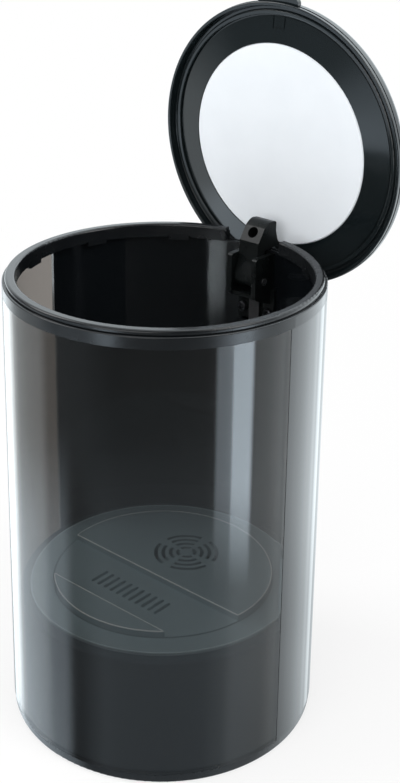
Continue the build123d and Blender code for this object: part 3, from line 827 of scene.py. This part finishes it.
# studio
white = (1, 1, 1, 1)
paleTint = (0.92, 1.0, 1.04)
coolTint = (0.84, 0.99, 1.12)
studio = {
    "floorSize": 6.0,
    "floorColour": (0.93, 0.93, 0.93),
    "floorRoughness": 0.8,
    "shadowNear": 0.1,
    "shadowFar": 0.6,
    "shadowShare": 0.72,
    "world": 0.55,
    "front": 138.3,  # compass bearing of the photographer, from +Y towards +X
    # what gloss sees round about: around is by degrees to the left of the photographer,
    # heights is by degrees above level, and each row ends with how bright
    "glows": [
        {  # the pale room: dim in front, bright behind
            "around": [
                (-180, 0.3), (-156, 0.45), (-150, 1.0), (-145, 1.0), (-141, 0.78), (-137, 1.0),
                (-132, 0.92), (-125, 1.0), (-108, 0.95), (-95, 0.62), (-75, 0.46), (-55, 0.38),
                (-42, 0.18), (-28, 0.09), (0, 0.08), (34, 0.08), (88, 0.1), (99, 0.38),
                (112, 0.36), (124, 0.36), (131, 0.46), (136, 0.8), (141, 1.0), (145, 0.8),
                (150, 1.0), (157, 0.9), (162, 0.3), (180, 0.3),
            ],
            "heights": [
                (-60, 0.45), (-40, 0.5), (-35, 0.7), (-28, 1.0), (-14, 1.0),
                (-2, 0.35), (15, 0.3), (50, 0.35), (90, 0.45),
            ],
            "level": 2.8,
            "tint": paleTint,
        },
        {  # a pale wall on the left, with a sharp foot
            "around": [
                (-180, 0.0), (34, 0.0), (46, 0.24), (58, 0.6), (70, 0.5),
                (80, 0.36), (90, 0.3), (99, 0.0), (180, 0.0),
            ],
            "heights": [
                (-90, 0.05), (-21.2, 0.06), (-20.6, 1.0), (-14, 1.0), (-8, 0.6),
                (-2, 0.12), (15, 0.12), (50, 0.35), (90, 0.45),
            ],
            "level": 2.8,
            "tint": coolTint,
        },
        {  # a lamp on the left whose image stands on the inner wall
            "around": [(-180, 0.0), (33, 0.0), (36, 1.0), (43, 0.75), (47.5, 0.5), (49, 0.0), (180, 0.0)],
            "heights": [(-90, 0.0), (-21.6, 0.0), (-20.9, 1.0), (-16, 1.0), (-12, 0.0), (90, 0.0)],
            "level": 12.5,
            "tint": coolTint,
        },
        {  # the bright back, above the table
            "around": [
                (-180, 0.6), (-120, 1.0), (-88, 0.45), (-72, 0.0), (112, 0.0), (135, 0.15), (180, 0.6),
            ],
            "heights": [(-90, 0.0), (-15, 0.0), (-3, 0.6), (30, 1.0), (70, 0.6), (90, 0.3)],
            "level": 3.2,
            "tint": paleTint,
        },
        {  # the table in front, near the foot
            "around": [(-180, 0.0), (-88, 0.0), (-50, 1.0), (40, 1.0), (64, 0.0), (180, 0.0)],
            "heights": [(-90, 1.0), (-37, 1.0), (-31, 0.7), (-26, 0.1), (-22, 0.0), (90, 0.0)],
            "level": 0.42,
            "tint": coolTint,
        },
        {  # more of the table, low on the left
            "around": [(-180, 0.0), (67, 0.0), (79, 0.9), (105, 1.0), (140, 0.6), (165, 0.0), (180, 0.0)],
            "heights": [(-90, 0.8), (-42, 1.0), (-32, 0.8), (-26, 0.0), (90, 0.0)],
            "level": 1.35,
            "tint": coolTint,
        },
        {  # a strip light standing to the right
            "around": [
                (-180, 0.0), (-66, 0.0), (-62.5, 1.0), (-49.5, 1.0),
                (-47.5, 0.35), (-37.5, 0.3), (-35.5, 0.0), (180, 0.0),
            ],
            "heights": [
                (-90, 0.0), (-33.5, 0.0), (-28.5, 1.0), (-20, 1.0), (-12, 0.3), (-6, 0.0), (90, 0.0),
            ],
            "level": 5.6,
            "tint": coolTint,
        },
    ],
    "lamps": [
        # name, place, target, width, height, watts
        ("leftBox", (-0.95, -0.6, 1.05), (0, 0, 0.15), 0.6, 0.9, 8.5),
        ("rightBox", (1.0, 0.1, 0.95), (0, 0, 0.15), 0.5, 0.9, 6.5),
        ("topBox", (0.0, -0.1, 1.3), (0, 0, 0.1), 0.9, 0.9, 2.2),
        ("frontBox", (0.25, -1.15, 0.6), (0, 0, 0.15), 1.0, 0.9, 6.0),
    ],
}


def seenDirectly(tree):
    # 1 for rays that show the surroundings as they are: straight or through clear plastic
    path = tree.nodes.new("ShaderNodeLightPath")
    return mathNode(tree, "MAXIMUM", path.outputs["Is Camera Ray"], path.outputs["Is Transmission Ray"])


def seenInGloss(tree):
    # 1 for rays that a glossy surface has sent on, also when they go out through the clear wall
    path = tree.nodes.new("ShaderNodeLightPath")
    return mathNode(tree, "GREATER_THAN", path.outputs["Glossy Depth"], 0.5)


def addFloor(look):
    mesh = bpy.data.meshes.new("floor")
    half = look["floorSize"] / 2
    corners = [(-half, -half, 0), (half, -half, 0), (half, half, 0), (-half, half, 0)]
    mesh.from_pydata(corners, [], [(0, 1, 2, 3)])
    floor = bpy.data.objects.new("floor", mesh)
    scene.collection.objects.link(floor)
    material, tree, shader = newMaterial(
        "floorWhite", look["floorColour"], look["floorRoughness"], Specular_IOR_Level=0.0
    )
    glow = tree.nodes.new("ShaderNodeEmission")
    glow.inputs["Strength"].default_value = 1.0
    # plain white away from the object, a soft shadow near it
    distance = vectorMath(tree, "LENGTH", objectPlace(tree), result="Value")
    share = spread(tree, distance, look["shadowNear"], look["shadowFar"], look["shadowShare"], 1.0)
    share = mathNode(tree, "MULTIPLY", seenDirectly(tree), share)
    plain = mixShader(tree, share, shader.outputs[0], glow.outputs[0])
    # gloss sees the studio's round backdrop through the floor
    clear = tree.nodes.new("ShaderNodeBsdfTransparent")
    surface = mixShader(tree, seenInGloss(tree), plain, clear.outputs[0])
    tree.links.new(surface, tree.nodes["Material Output"].inputs["Surface"])
    mesh.materials.append(material)


def rampOver(tree, value, stops, low, high):
    # a share from 0 to 1 along a list of (degrees, share) stops
    place = spread(tree, value, math.radians(low), math.radians(high), 0.0, 1.0)
    ramp = tree.nodes.new("ShaderNodeValToRGB")
    tree.links.new(place, ramp.inputs["Fac"])
    ramp.color_ramp.interpolation = "EASE"
    elements = ramp.color_ramp.elements
    while len(elements) > 1:
        elements.remove(elements[0])
    for index, (degrees, share) in enumerate(stops):
        position = (degrees - low) / (high - low)
        if index:
            element = elements.new(position)
        else:
            element = elements[0]
            element.position = position
        element.color = (share, share, share, 1)
    return ramp.outputs["Color"]


def addWorld(look):
    world = bpy.data.worlds.new("studioAir")
    scene.world = world
    world.use_nodes = True
    tree = world.node_tree
    plain = tree.nodes["Background"]
    plain.inputs["Color"].default_value = white
    plain.inputs["Strength"].default_value = look["world"]
    bright = tree.nodes.new("ShaderNodeBackground")
    bright.inputs["Color"].default_value = white
    air = mixShader(tree, seenDirectly(tree), plain.outputs[0], bright.outputs[0])
    # the round backdrop, for gloss only
    axes = tree.nodes.new("ShaderNodeSeparateXYZ")
    tree.links.new(tree.nodes.new("ShaderNodeTexCoord").outputs["Generated"], axes.inputs[0])
    bearing = mathNode(tree, "ARCTAN2", axes.outputs["X"], axes.outputs["Y"])
    turned = mathNode(tree, "SUBTRACT", bearing, math.radians(look["front"]))
    around = mathNode(tree, "WRAP", turned, math.pi, -math.pi)
    height = mathNode(tree, "ARCSINE", axes.outputs["Z"])
    total = None
    for glow in look["glows"]:
        across = rampOver(tree, around, glow["around"], -180, 180)
        upward = rampOver(tree, height, glow["heights"], -90, 90)
        share = vectorMath(tree, "MULTIPLY", across, upward)
        share = vectorMath(tree, "MULTIPLY", share, [glow["level"] * part for part in glow["tint"]])
        total = vectorMath(tree, "ADD", total, share) if total else share
    gloss = tree.nodes.new("ShaderNodeBackground")
    tree.links.new(total, gloss.inputs["Color"])
    surface = mixShader(tree, seenInGloss(tree), air, gloss.outputs[0])
    tree.links.new(surface, tree.nodes["World Output"].inputs["Surface"])


def addLamp(name, place, target, width, height, watts):
    lamp = bpy.data.lights.new(name, "AREA")
    lamp.shape = "RECTANGLE"
    lamp.size = width
    lamp.size_y = height
    lamp.energy = watts
    holder = bpy.data.objects.new(name, lamp)
    scene.collection.objects.link(holder)
    holder.location = place
    holder.rotation_mode = "QUATERNION"
    holder.rotation_quaternion = (Vector(target) - Vector(place)).to_track_quat("-Z", "Y")


addFloor(studio)
addWorld(studio)
for lampRow in studio["lamps"]:
    addLamp(*lampRow)
print("studio lit")
